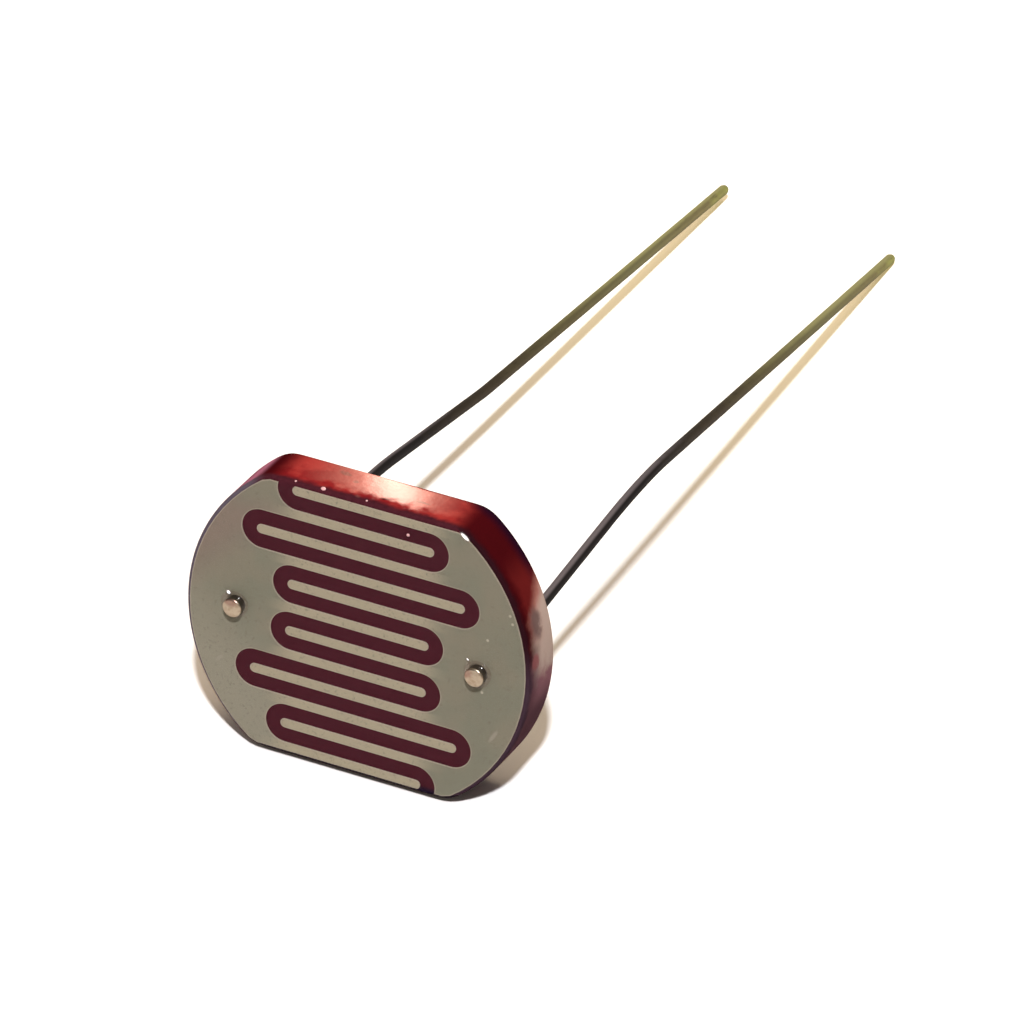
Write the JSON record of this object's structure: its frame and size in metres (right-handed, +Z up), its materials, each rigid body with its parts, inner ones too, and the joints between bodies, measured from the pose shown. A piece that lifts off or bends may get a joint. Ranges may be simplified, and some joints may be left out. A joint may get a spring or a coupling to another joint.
{
  "type": "photoresistor",
  "caption": "Light-dependent resistor: a resin-coated ceramic disc with flats, interlocking metal combs over a dark red light-sensitive track, and bent wire leads from its back",
  "frame": {"origin": "the middle of the bottom of the whole part's box, on the table that it rests on", "axes": "+Z up from the table, +Y back along the leads, +X to the right as seen facing the light-sensitive face, which looks along -Y"},
  "size_m": [0.012, 0.0347, 0.0099],
  "materials": {
    "ceramic": "matte",
    "light_layer": "satin",
    "comb_metal": "matte",
    "lead_metal": "satin",
    "resin": "gloss"
  },
  "bodies": {
    "root": {"ceramic_substrate": "ceramic", "photoconductive_layer": "light_layer", "left_electrode": "comb_metal", "right_electrode": "comb_metal", "left_lead": "lead_metal", "right_lead": "lead_metal", "resin_coat": "resin"}
  },
  "joints": []
}
